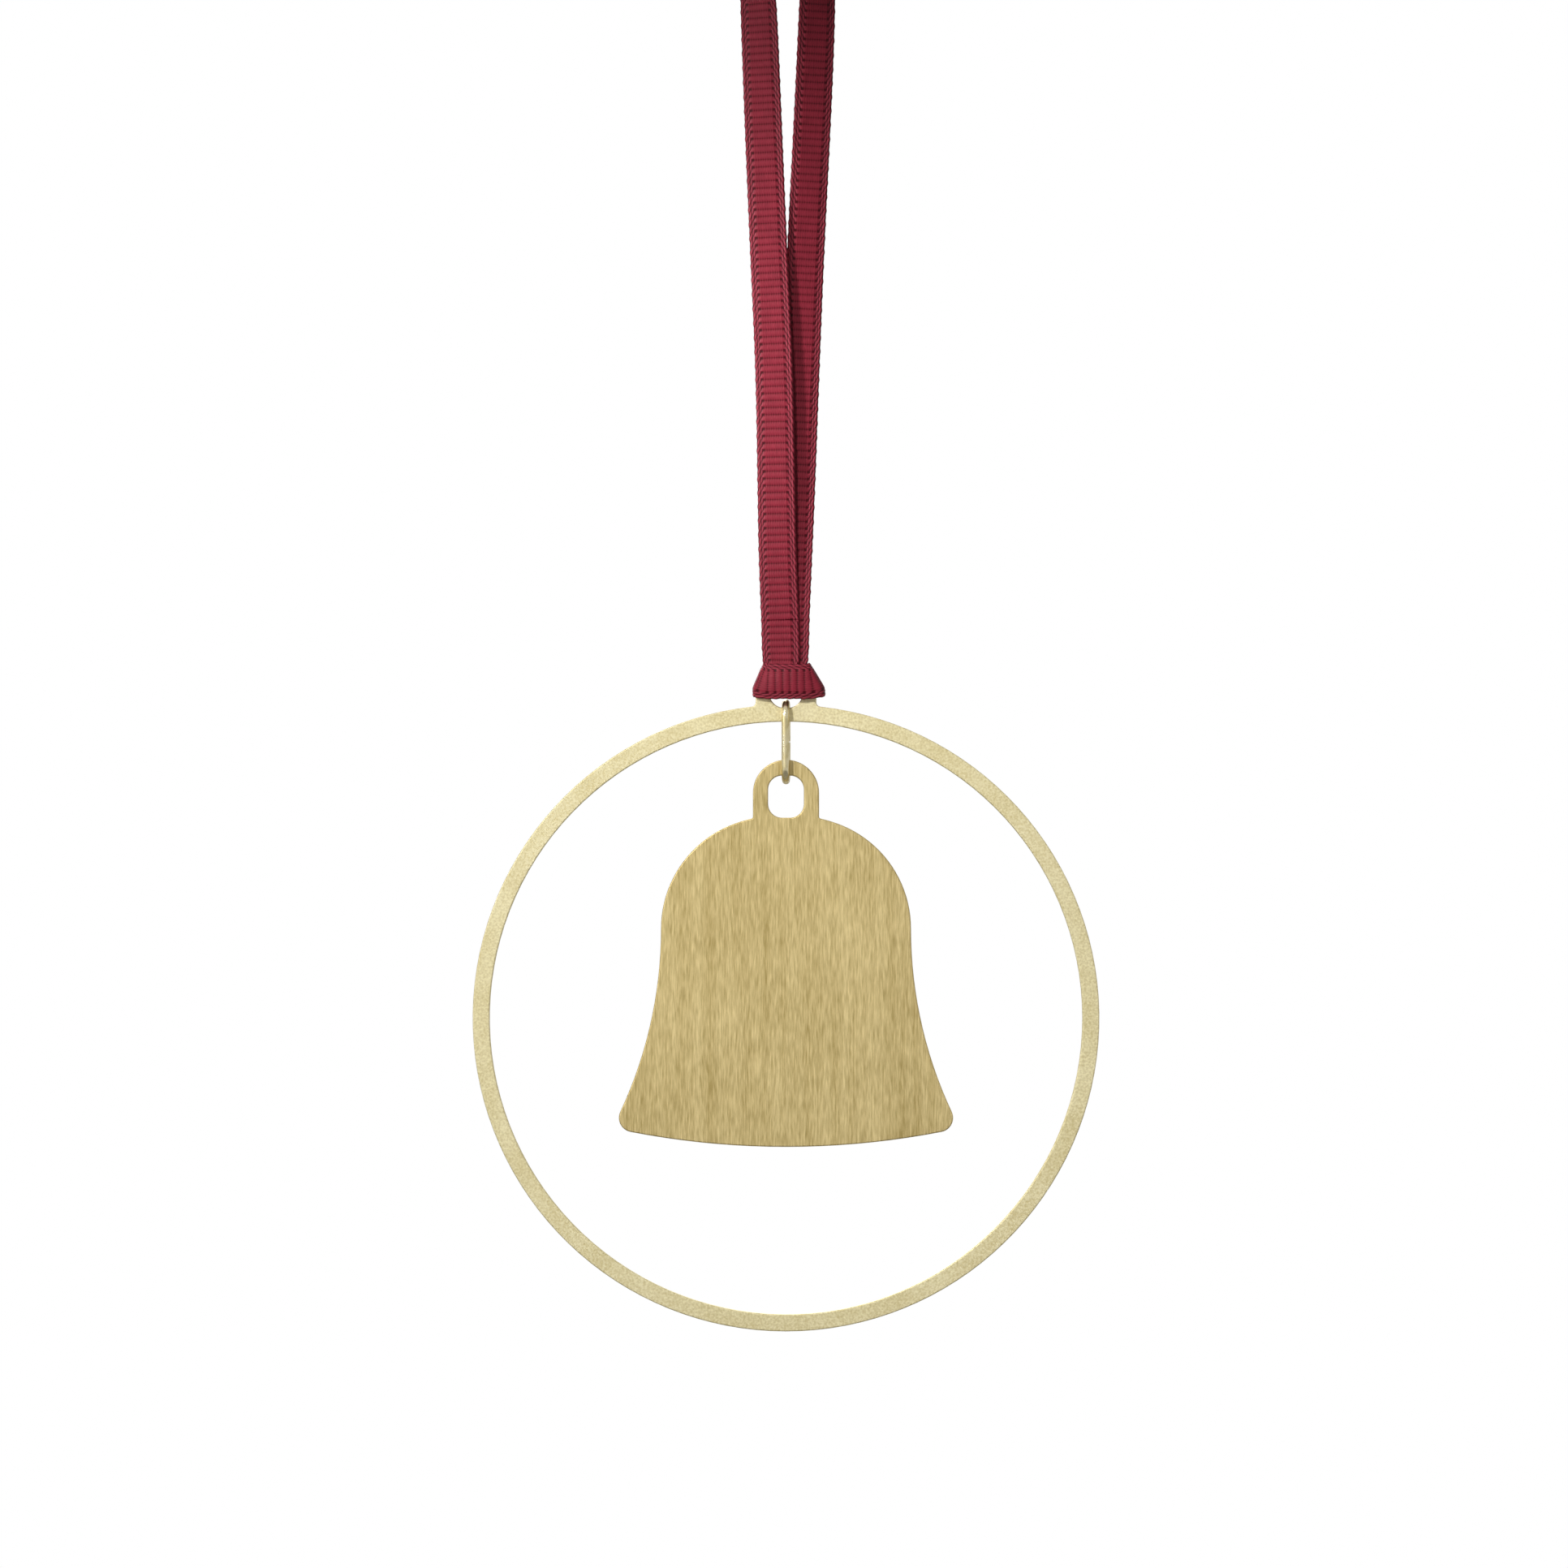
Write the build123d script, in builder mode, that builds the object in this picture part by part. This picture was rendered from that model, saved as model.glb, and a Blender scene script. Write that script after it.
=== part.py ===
"""Bell ornament: a flat bell hung by a wire link inside a flat ring, on a ribbon loop.

Frame: +Z up, +Y towards the back, the flat pieces stand in the XZ plane.
The origin is the inner top of the ribbon loop, where a peg or a twig carries it.
"""

import os
from math import acos, asin, cos, hypot, pi, radians, sin, sqrt

from build123d import *

# ---------------------------------------------------------------- driving dimensions (mm)

# Sheet metal pieces
sheet_t = 1.5  # thickness of the ring and the bell
edge_round = 0.2  # tumbled edges of the sheet pieces

# Ring, with its hanging tab
ring_diameter = 100.0
ring_band = 2.7  # width of the band in the plane of the ring
tab_width = 9.7
tab_rise = 6.75  # tab's round top above the ring's outer edge
tab_wall = 2.2  # metal left round the slot
tab_root_round = 0.7
slot_set_down = 0.5  # slot floor below the ring's outer edge
slot_flat = 0.5  # straight part of the slot's floor

# Bell plate
bell_waist = 39.9  # width where the sides are upright
bell_lip = 55.5  # width between the lip's corners before they are rounded
bell_flare_radius = 69.0
bell_foot_radius = 130.0  # shallow curve of the bottom edge
bell_lip_round = 2.3
shoulder_set_in = 2.15  # shoulder arc's centre from the middle line
crown_ease = 6.4  # crown arc's radius over the shoulder arc's
bell_loop_width = 10.56
bell_loop_rise = 8.75  # loop's round top above the crown
bell_loop_bar = 2.55  # metal over the loop's slot
bell_slot_width = 5.7
bell_slot_height = 6.7
bell_slot_corner = 2.2
bell_loop_root_round = 0.3

# Wire link
wire_d = 1.2
link_side_play = 0.75  # from a sheet face to the inside of the link's leg
link_pitch = 8.2  # between the centres of the two bends
link_turn = -3.0  # turn of the link about the vertical, degrees
link_butt_gap = 0.12  # where the two ends of the wire meet, in the rear leg
rest_clearance = 0.06  # between the wire and the sheet edges that it carries

# Ribbon
ribbon_width = 6.0
ribbon_t = 0.4
ribbon_gap = 0.1  # between two layers of the tape that lie together
hang_drop = 198.0  # inner top of the loop to the centre of the ring
peg_radius = 5.5  # round thing that the loop is shaped over
twist_length = 22.0  # stretch in which the tape turns from edge-on to flat-on
twist_steps = 6  # straight-sided stages of that turn
strand_top_drop = 31.5  # inner top of the loop down to the upper ends of the strands
strand_top_x = 4.45  # middle of a strand, from the middle line, at its upper end
strand_foot_x = 0.7  # the same at its lower end, over the knot
strand_gap = 0.5  # clear space at each place where the ribbon turns or folds

# Knot
knot_clear = 0.35  # knot above the sweep of the link's top bend
knot_height = 5.4
knot_top_width = 7.2
knot_side_share = 0.28  # height of the knot's widest place, as a share of knot_height
knot_side_cover = 0.7  # tape standing out beside the tab
shoulder_wrap = 50.0  # degrees of each of the tab's shoulders under tape, from its side up
knot_front = 1.85  # thickness in front of the ring's face
knot_back = 1.1
knot_skin = 0.05  # from the tape to the metal
neck_rise = 1.0  # knot's upright stub above the tab
fold_rise = 2.4  # fold axis above the tab

# Sewn lap
lap_angle = 80.0  # degrees of the bend that are doubled
thread_d = 0.3
stitches = 4  # in each of the two rows
stitch_length = 0.9
stitch_pitch = 1.4
row_angle = 28.0  # degrees from the top of the loop to each row

# ---------------------------------------------------------------- worked out from them

half_t = sheet_t / 2
ring_r = ring_diameter / 2
ring_z = -hang_drop
ring_top = ring_z + ring_r
slot_floor = ring_top - slot_set_down
tab_top = ring_top + tab_rise
tab_r = tab_width / 2
tab_slot_width = tab_width - 2 * tab_wall
tab_slot_height = tab_top - tab_wall - slot_floor
slot_corner = (tab_slot_width - slot_flat) / 2

link_inner_r = half_t + link_side_play
link_middle_r = link_inner_r + wire_d / 2
link_outer_r = link_inner_r + wire_d
# the bend touches the two rounded edges of the sheet, this far from its own centre
edge_reach = link_inner_r - rest_clearance - edge_round
seat_height = edge_round + sqrt(edge_reach**2 - (half_t - edge_round) ** 2)
upper_pivot = slot_floor - seat_height
lower_pivot = upper_pivot - link_pitch

waist_x = bell_waist / 2
lip_x = bell_lip / 2
shoulder_r = waist_x - shoulder_set_in
crown_r = shoulder_r + crown_ease
crown_angle = asin(shoulder_set_in / crown_ease)
dome_height = crown_r - crown_ease * cos(crown_angle)
flare_angle = acos(1 - (lip_x - waist_x) / bell_flare_radius)
flare_height = bell_flare_radius * sin(flare_angle)
foot_rise = bell_foot_radius - sqrt(bell_foot_radius**2 - lip_x**2)
bell_loop_r = bell_loop_width / 2
bell_slot_top = lower_pivot - seat_height
bell_top = bell_slot_top + bell_loop_bar
crown_z = bell_top - bell_loop_rise
waist_z = crown_z - dome_height
lip_z = waist_z - flare_height
foot_z = lip_z - foot_rise

knot_bottom = upper_pivot + link_outer_r + knot_clear
knot_top = knot_bottom + knot_height
knot_waist = tab_width + 2 * knot_side_cover
tape_half = tab_slot_width / 2 - slot_corner / 2
tape_into_corner = tape_half - (tab_slot_width / 2 - slot_corner)
tape_corner_drop = slot_corner - sqrt((slot_corner - knot_skin) ** 2 - tape_into_corner**2)
tape_top = tab_top - tab_wall - knot_skin - tape_corner_drop
neck_top = tab_top + neck_rise
fold_z = tab_top + fold_rise
strand_bottom = fold_z + strand_gap
layer_y = (ribbon_t + ribbon_gap) / 2
strand_top = -strand_top_drop
bend_bottom = strand_top + strand_gap
bend_centre = -peg_radius
bend_middle_r = peg_radius + ribbon_t / 2
twist_top = bend_bottom + twist_length

os.makedirs("parts", exist_ok=True)

# ---------------------------------------------------------------- ring and its tab

rear = Plane.XZ.offset(-half_t)  # sheet pieces grow from their rear face to the front


def corners_beside(sketch, half_width, below):
    """Corners of an upright sketch on the two sides of a tab, under the height below."""
    return [v for v in sketch.vertices() if abs(abs(v.X) - half_width) < 0.01 and v.Y < below - 0.01]


with BuildPart() as ring_frame:
    with BuildSketch(rear) as ring_outline:
        with Locations((0, ring_z)):
            Circle(ring_r)
        with Locations((0, tab_top - tab_r)):
            Circle(tab_r)
        with Locations((0, (ring_z + tab_top - tab_r) / 2)):
            Rectangle(tab_width, tab_top - tab_r - ring_z)
        fillet(corners_beside(ring_outline, tab_r, tab_top - tab_r), tab_root_round)
        with Locations((0, ring_z)):
            Circle(ring_r - ring_band, mode=Mode.SUBTRACT)
        with Locations((0, slot_floor + tab_slot_height / 2)):
            RectangleRounded(tab_slot_width, tab_slot_height, slot_corner, mode=Mode.SUBTRACT)
    extrude(amount=sheet_t)
    rims = ring_frame.faces().filter_by(Axis.Y).edges()
    fillet(rims, edge_round)
ring_frame.part.label = "ring_frame"
export_step(ring_frame.part, "parts/ring_frame.step")

# ---------------------------------------------------------------- bell plate

shoulder_start = (crown_r * sin(crown_angle), crown_z - crown_r * (1 - cos(crown_angle)))
shoulder_sweep = pi / 2 - crown_angle
half_way = crown_angle + shoulder_sweep / 2
shoulder_mid = (shoulder_set_in + shoulder_r * sin(half_way), waist_z + shoulder_r * cos(half_way))
crown_mid = (crown_r * sin(crown_angle / 2), crown_z - crown_r * (1 - cos(crown_angle / 2)))
flare_mid = (
    waist_x + bell_flare_radius * (1 - cos(flare_angle / 2)),
    waist_z - bell_flare_radius * sin(flare_angle / 2),
)

with BuildPart() as bell_plate:
    with BuildSketch(rear) as bell_outline:
        with BuildLine() as half_bell:
            ThreePointArc((0, crown_z), crown_mid, shoulder_start)
            ThreePointArc(shoulder_start, shoulder_mid, (waist_x, waist_z))
            ThreePointArc((waist_x, waist_z), flare_mid, (lip_x, lip_z))
            RadiusArc((lip_x, lip_z), (0, foot_z), bell_foot_radius)
            Line((0, foot_z), (0, crown_z))
        make_face()
        mirror(about=Plane.YZ)
        lip_corners = bell_outline.vertices().group_by(Axis.X)
        fillet(lip_corners[0] + lip_corners[-1], bell_lip_round)
        with Locations((0, bell_top - bell_loop_r)):
            Circle(bell_loop_r)
        with Locations((0, (bell_top - bell_loop_r + waist_z) / 2)):
            Rectangle(bell_loop_width, bell_top - bell_loop_r - waist_z)
        fillet(corners_beside(bell_outline, bell_loop_r, bell_top - bell_loop_r), bell_loop_root_round)
        with Locations((0, bell_slot_top - bell_slot_height / 2)):
            RectangleRounded(bell_slot_width, bell_slot_height, bell_slot_corner, mode=Mode.SUBTRACT)
    extrude(amount=sheet_t)
    rims = bell_plate.faces().filter_by(Axis.Y).edges()
    fillet(rims, edge_round)
bell_plate.part.label = "bell_plate"
export_step(bell_plate.part, "parts/bell_plate.step")

# ---------------------------------------------------------------- wire link

link_frame = Plane(
    origin=(0, 0, upper_pivot),
    x_dir=(-sin(radians(link_turn)), cos(radians(link_turn)), 0),
    z_dir=(cos(radians(link_turn)), sin(radians(link_turn)), 0),
)
butt = link_butt_gap / 2
butt_at = -link_pitch / 2

with BuildPart() as wire_link:
    with BuildLine(link_frame) as wire_path:
        Line((link_middle_r, butt_at + butt), (link_middle_r, 0))
        ThreePointArc((link_middle_r, 0), (0, link_middle_r), (-link_middle_r, 0))
        Line((-link_middle_r, 0), (-link_middle_r, -link_pitch))
        ThreePointArc(
            (-link_middle_r, -link_pitch), (0, -link_pitch - link_middle_r), (link_middle_r, -link_pitch)
        )
        Line((link_middle_r, -link_pitch), (link_middle_r, butt_at - butt))
    with BuildSketch(Plane(origin=wire_path.line @ 0, z_dir=wire_path.line % 0)):
        Circle(wire_d / 2)
    sweep()
wire_link.part.label = "wire_link"
export_step(wire_link.part, "parts/wire_link.step")

# ---------------------------------------------------------------- knot round the tab

knot_side_z = knot_bottom + knot_side_share * knot_height

with BuildPart() as ribbon_knot:
    # the band in front, with its slanting sides
    with BuildSketch(Plane.XZ.offset(half_t + knot_skin)):
        with BuildLine():
            Polyline(
                (-knot_waist / 2 + knot_side_cover, knot_bottom),
                (-knot_waist / 2, knot_side_z),
                (-knot_top_width / 2, knot_top),
                (knot_top_width / 2, knot_top),
                (knot_waist / 2, knot_side_z),
                (knot_waist / 2 - knot_side_cover, knot_bottom),
                close=True,
            )
        make_face()
    extrude(amount=knot_front - knot_skin)
    # the two strands rising behind the band
    with BuildSketch(Plane.XZ.offset(half_t + knot_skin)):
        with Locations((0, (knot_top + neck_top) / 2)):
            Rectangle(knot_top_width, neck_top - knot_top)
    extrude(amount=2 * ribbon_t + ribbon_gap)
    # the two legs behind the tab
    with BuildSketch(Plane.XZ.offset(-half_t - knot_skin)):
        with Locations((0, (knot_bottom + tab_top) / 2)):
            Rectangle(knot_top_width, tab_top - knot_bottom)
    extrude(amount=-(knot_back - knot_skin))
    # the tapes that pass through the slot, under its rounded upper edge
    with BuildSketch(Plane.XZ.offset(-half_t - knot_skin)):
        with Locations((0, (knot_bottom + tape_top) / 2)):
            Rectangle(2 * tape_half, tape_top - knot_bottom)
    extrude(amount=sheet_t + 2 * knot_skin)
    # the turns over the tab's shoulders, from the back to the front
    with BuildSketch(Plane.XZ.offset(-(half_t + knot_back))):
        with BuildLine():
            inside = CenterArc((0, tab_top - tab_r), tab_r + knot_skin, 0, shoulder_wrap)
            outside = CenterArc((0, tab_top - tab_r), tab_r + knot_side_cover, 0, shoulder_wrap)
            Line(inside @ 0, outside @ 0)
            Line(inside @ 1, outside @ 1)
        make_face()
        mirror(about=Plane.YZ)
    extrude(amount=knot_back + sheet_t + knot_front)
ribbon_knot.part.label = "ribbon_knot"
export_step(ribbon_knot.part, "parts/ribbon_knot.step")

# ---------------------------------------------------------------- ribbon loop


def strand_middle(side, z):
    """Middle of a strand at height z; side is -1 for the left one and 1 for the right one."""
    share = (z - strand_bottom) / (strand_top - strand_bottom)
    return side * (strand_foot_x + share * (strand_top_x - strand_foot_x)), side * layer_y


def tape_section(x, y, z, turn):
    """Plane for one cross-section of the tape, turned about the vertical by so many degrees."""
    return Plane(origin=(x, y, z), x_dir=(cos(radians(turn)), sin(radians(turn)), 0), z_dir=(0, 0, 1))


for side, name in ((-1, "ribbon_strand_left"), (1, "ribbon_strand_right")):
    with BuildPart() as strand:
        for z in (strand_bottom, strand_top):
            with BuildSketch(tape_section(*strand_middle(side, z), z, 0)):
                Rectangle(ribbon_width, ribbon_t)
        loft(ruled=True)
    strand.part.label = name
    export_step(strand.part, f"parts/{name}.step")
    strand_run = hypot(strand_top - strand_bottom, strand_top_x - strand_foot_x)
    print(name, "volume", round(strand.part.volume, 1))
    print("section x length", round(strand_run * ribbon_width * ribbon_t, 1))

twist_start_x = strand_top_x + strand_gap * (strand_top_x - strand_foot_x) / (strand_top - strand_bottom)

with BuildPart() as ribbon_bend:
    for side in (-1, 1):
        for step in range(twist_steps):
            for stage in (step, step + 1):
                share = stage / twist_steps
                x = side * (twist_start_x + share * (bend_middle_r - twist_start_x))
                with BuildSketch(tape_section(x, 0, bend_bottom + share * twist_length, side * 90 * share)):
                    Rectangle(ribbon_width, ribbon_t)
            loft(ruled=True)
        upright = bend_centre - twist_top
        with BuildSketch(Plane.XY.offset(twist_top)):
            with Locations((side * bend_middle_r, 0)):
                Rectangle(ribbon_t, ribbon_width)
        extrude(amount=upright)
    with BuildSketch(Plane.XZ.offset(-ribbon_width / 2)):
        with BuildLine():
            CenterArc((0, bend_centre), peg_radius, 0, 180)
            CenterArc((0, bend_centre), peg_radius + ribbon_t, 0, 180)
            Line((peg_radius, bend_centre), (peg_radius + ribbon_t, bend_centre))
            Line((-peg_radius, bend_centre), (-peg_radius - ribbon_t, bend_centre))
        make_face()
    extrude(amount=ribbon_width)
ribbon_bend.part.label = "ribbon_bend"
export_step(ribbon_bend.part, "parts/ribbon_bend.step")
bend_run = pi * bend_middle_r + 2 * upright + 2 * hypot(twist_length, bend_middle_r - twist_start_x)
print("ribbon_bend volume", round(ribbon_bend.part.volume, 1))
print("section x length", round(bend_run * ribbon_width * ribbon_t, 1), "bend radius", bend_middle_r)

# ---------------------------------------------------------------- sewn lap at the top of the loop

lap_inner_r = peg_radius + ribbon_t + ribbon_gap / 2
lap_outer_r = lap_inner_r + ribbon_t

with BuildPart() as ribbon_lap:
    with BuildSketch(Plane.XZ.offset(-ribbon_width / 2)):
        with BuildLine():
            lower = CenterArc((0, bend_centre), lap_inner_r, 90 - lap_angle / 2, lap_angle)
            upper = CenterArc((0, bend_centre), lap_outer_r, 90 - lap_angle / 2, lap_angle)
            Line(lower @ 0, upper @ 0)
            Line(lower @ 1, upper @ 1)
        make_face()
    extrude(amount=ribbon_width)
ribbon_lap.part.label = "ribbon_lap"
export_step(ribbon_lap.part, "parts/ribbon_lap.step")

row_width = stitches * stitch_pitch - (stitch_pitch - stitch_length)

with BuildPart() as seam_thread:
    for side in (-1, 1):
        turn = radians(side * row_angle)
        out = Vector(sin(turn), 0, cos(turn))
        # the thread's two levels: over the lap, and under the tape
        over = Vector(0, 0, bend_centre) + out * (lap_outer_r + thread_d / 2)
        under = Vector(0, 0, bend_centre) + out * (peg_radius - thread_d / 2)
        for number in range(stitches):
            start = Vector(0, number * stitch_pitch - row_width / 2, 0)
            end = start + Vector(0, stitch_length, 0)
            following = start + Vector(0, stitch_pitch, 0)
            route = [over + start, over + end, under + end]
            if number < stitches - 1:
                route += [under + following, over + following]
            with BuildLine():
                Polyline(*route)
            with BuildSketch(Plane(origin=route[0], z_dir=(0, 1, 0))):
                Rectangle(thread_d, thread_d)
            sweep(transition=Transition.RIGHT)
seam_thread.part.label = "seam_thread"
export_step(seam_thread.part, "parts/seam_thread.step")
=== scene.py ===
"""Looks of the bell ornament: a flat brass bell and ring on a woven ribbon loop.

The brass pieces are the frame's own, with their finishes. The ribbon is one grosgrain tape, shown as the
loop that hangs free, two necks that bend over the knot, the knot round the ring's tab and the sewn lap.
"""

import logging
import math
from dataclasses import dataclass
from enum import Enum
from typing import Sequence

import bmesh
import bpy
import numpy as np
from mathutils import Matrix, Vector


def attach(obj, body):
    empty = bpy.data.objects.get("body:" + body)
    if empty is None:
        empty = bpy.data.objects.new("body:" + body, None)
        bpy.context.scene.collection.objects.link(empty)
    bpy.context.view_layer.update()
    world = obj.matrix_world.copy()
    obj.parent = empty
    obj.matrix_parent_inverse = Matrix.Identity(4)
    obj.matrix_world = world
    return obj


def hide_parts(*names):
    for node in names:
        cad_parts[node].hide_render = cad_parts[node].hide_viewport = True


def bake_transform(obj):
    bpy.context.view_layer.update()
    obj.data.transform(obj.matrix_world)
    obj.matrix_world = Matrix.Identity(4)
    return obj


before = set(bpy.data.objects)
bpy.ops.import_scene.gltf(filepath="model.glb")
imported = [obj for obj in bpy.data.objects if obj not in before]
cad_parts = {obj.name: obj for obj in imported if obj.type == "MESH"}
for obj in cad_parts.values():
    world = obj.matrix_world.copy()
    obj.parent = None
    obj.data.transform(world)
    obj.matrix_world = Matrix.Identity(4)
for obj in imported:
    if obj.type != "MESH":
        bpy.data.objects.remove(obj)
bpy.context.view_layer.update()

log = logging.getLogger("bell_ornament")

MM = 0.001
RING_MIDDLE = -198.0  # height of the ring's centre in the frame, mm
NECK_Z = -134.5  # height where the free loop meets its two necks, mm
RIB_PITCH = 1.13  # from one rib of the tape to the next, mm
TAPE_HALF = 3.0  # half of the tape's width, mm
SELVAGE = 1.9  # where the ribs end and the selvage begins, from the tape's middle, mm
STRAND = 0.52  # width of one twisted cord of the selvage, mm
LEAN = 0.85  # how far a selvage yarn leans over one cord, in ribs
SCALLOP = (0.035, 0.03)  # waves of the tape's edge, two ribs long and about one rib long, mm

Point = tuple[float, float, float]


class Side(Enum):
    """Left or right of the ornament's middle, as the sign of x."""

    LEFT = -1
    RIGHT = 1


# ------------------------------------------------------------------------------------ colours and nodes


def linear(colour: str) -> tuple[float, float, float, float]:
    """Turns an sRGB hex colour to linear.

    Args:
        colour: six hex digits after a hash.

    Returns:
        Red, green, blue and alpha.
    """
    parts = [int(colour[i : i + 2], 16) / 255 for i in (1, 3, 5)]
    flat = [p / 12.92 if p <= 0.04045 else ((p + 0.055) / 1.055) ** 2.4 for p in parts]
    return (flat[0], flat[1], flat[2], 1.0)


def add_node(
    tree: bpy.types.NodeTree, kind: str, inputs: dict | None = None, out: int = 0, **settings: object
) -> bpy.types.NodeSocket:
    """Adds one node with its settings and links.

    Args:
        tree: the tree that it joins.
        kind: the node's type, without its prefix ShaderNode.
        inputs: socket name or number, to a value or to the socket that feeds it.
        out: number of the output wanted.
        settings: the node's own properties.

    Returns:
        The wanted output, or the node's first input where it has none.
    """
    node = tree.nodes.new("ShaderNode" + kind)
    for name, value in settings.items():
        setattr(node, name, value)
    for name, value in (inputs or {}).items():
        if isinstance(value, bpy.types.NodeSocket):
            tree.links.new(value, node.inputs[name])
        else:
            node.inputs[name].default_value = value
    return node.outputs[out] if len(node.outputs) else node.inputs[0]


def empty_material(name: str) -> tuple[bpy.types.Material, bpy.types.NodeTree]:
    """Makes a node material with nothing in its tree.

    Args:
        name: what the material is called.

    Returns:
        The material and its tree.
    """
    material = bpy.data.materials.new(name)
    material.use_nodes = True
    material.node_tree.nodes.clear()
    return material, material.node_tree


# ------------------------------------------------------------------------------------ finishes


@dataclass(frozen=True)
class BlastedBrass:
    """Bead-blasted brass sheet: matt pale gold with a fine even grain, slightly uneven in places."""

    name: str = "bead_blasted_brass"
    bright: str = "#fbf3cf"
    deep: str = "#e0d29f"
    grain: float = 0.34  # mm, drawn coarser than real blasting, so that it shows
    cloud: float = 7.0  # mm
    roughness: float = 0.64

    def material(self) -> bpy.types.Material:
        """Builds the finish.

        Returns:
            Its material.
        """
        made, tree = empty_material(self.name)
        place = add_node(tree, "TexCoord", out=3)
        grain = add_node(tree, "TexNoise", {"Vector": place, "Scale": 1 / (self.grain * MM), "Detail": 3.0})
        cloud = add_node(tree, "TexNoise", {"Vector": place, "Scale": 1 / (self.cloud * MM), "Detail": 4.0})
        both = add_node(tree, "Mix", {0: 0.25, 2: grain, 3: cloud}, data_type="FLOAT")
        share = add_node(tree, "MapRange", {"Value": both, "From Min": 0.36, "From Max": 0.64})
        gold = add_node(
            tree, "Mix", {0: share, 6: linear(self.deep), 7: linear(self.bright)}, out=2, data_type="RGBA"
        )
        matt = add_node(
            tree,
            "MapRange",
            {
                "Value": grain,
                "From Min": 0.3,
                "From Max": 0.7,
                "To Min": self.roughness - 0.06,
                "To Max": self.roughness + 0.08,
            },
        )
        dents = add_node(tree, "Bump", {"Height": grain, "Strength": 0.5, "Distance": 0.03 * MM})
        skin = add_node(
            tree,
            "BsdfPrincipled",
            {"Base Color": gold, "Metallic": 1.0, "Roughness": matt, "Normal": dents},
        )
        add_node(tree, "OutputMaterial", {"Surface": skin})
        return made


@dataclass(frozen=True)
class BrushedBrass:
    """Brass sheet brushed up and down: satin gold, drawn in fine upright lines that spread its highlights."""

    name: str = "upright_brushed_brass"
    bright: str = "#ead69e"
    deep: str = "#b8a267"
    line: float = 0.26  # mm across the brushing, drawn coarser than real brushing
    run: float = 2.8  # mm along it
    streak: float = 1.3  # mm, wider bands that the brush left
    streak_run: float = 40.0  # mm
    cloud: float = 12.0  # mm
    roughness: float = 0.50

    def material(self) -> bpy.types.Material:
        """Builds the finish.

        Returns:
            Its material.
        """
        made, tree = empty_material(self.name)
        place = add_node(tree, "TexCoord", out=3)
        drawn = add_node(
            tree,
            "VectorMath",
            {0: place, 1: (1 / (self.line * MM), 1 / (self.line * MM), 1 / (self.run * MM))},
            operation="MULTIPLY",
        )
        lines = add_node(tree, "TexNoise", {"Vector": drawn, "Scale": 1.0, "Detail": 4.0, "Roughness": 0.6})
        bands = add_node(
            tree,
            "VectorMath",
            {0: place, 1: (1 / (self.streak * MM), 1 / (self.streak * MM), 1 / (self.streak_run * MM))},
            operation="MULTIPLY",
        )
        bands = add_node(tree, "TexNoise", {"Vector": bands, "Scale": 1.0, "Detail": 2.0})
        cloud = add_node(tree, "TexNoise", {"Vector": place, "Scale": 1 / (self.cloud * MM), "Detail": 3.0})
        uneven = add_node(tree, "Mix", {0: 0.35, 2: bands, 3: cloud}, data_type="FLOAT")
        both = add_node(tree, "Mix", {0: 0.36, 2: lines, 3: uneven}, data_type="FLOAT")
        share = add_node(tree, "MapRange", {"Value": both, "From Min": 0.36, "From Max": 0.64})
        gold = add_node(
            tree, "Mix", {0: share, 6: linear(self.deep), 7: linear(self.bright)}, out=2, data_type="RGBA"
        )
        satin = add_node(
            tree,
            "MapRange",
            {
                "Value": lines,
                "From Min": 0.3,
                "From Max": 0.7,
                "To Min": self.roughness - 0.07,
                "To Max": self.roughness + 0.09,
            },
        )
        furrows = add_node(tree, "Bump", {"Height": lines, "Strength": 0.6, "Distance": 0.025 * MM})
        skin = add_node(
            tree,
            "BsdfPrincipled",
            {"Base Color": gold, "Metallic": 1.0, "Roughness": satin, "Normal": furrows},
        )
        add_node(tree, "OutputMaterial", {"Surface": skin})
        return made


@dataclass(frozen=True)
class DrawnBrass:
    """Drawn and tumbled brass wire: smooth pale gold with sharp highlights and faint rubbed patches."""

    name: str = "drawn_brass_wire"
    bright: str = "#fbeec4"
    deep: str = "#dccb92"
    rub: float = 1.6  # mm
    roughness: float = 0.26

    def material(self) -> bpy.types.Material:
        """Builds the finish.

        Returns:
            Its material.
        """
        made, tree = empty_material(self.name)
        place = add_node(tree, "TexCoord", out=3)
        rubbed = add_node(tree, "TexNoise", {"Vector": place, "Scale": 1 / (self.rub * MM), "Detail": 4.0})
        share = add_node(tree, "MapRange", {"Value": rubbed, "From Min": 0.35, "From Max": 0.6})
        gold = add_node(
            tree, "Mix", {0: share, 6: linear(self.deep), 7: linear(self.bright)}, out=2, data_type="RGBA"
        )
        polish = add_node(
            tree,
            "MapRange",
            {
                "Value": rubbed,
                "From Min": 0.3,
                "From Max": 0.7,
                "To Min": self.roughness + 0.10,
                "To Max": self.roughness - 0.03,
            },
        )
        marks = add_node(tree, "Bump", {"Height": rubbed, "Strength": 0.15, "Distance": 0.02 * MM})
        skin = add_node(
            tree,
            "BsdfPrincipled",
            {"Base Color": gold, "Metallic": 1.0, "Roughness": polish, "Normal": marks},
        )
        add_node(tree, "OutputMaterial", {"Surface": skin})
        return made


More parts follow.
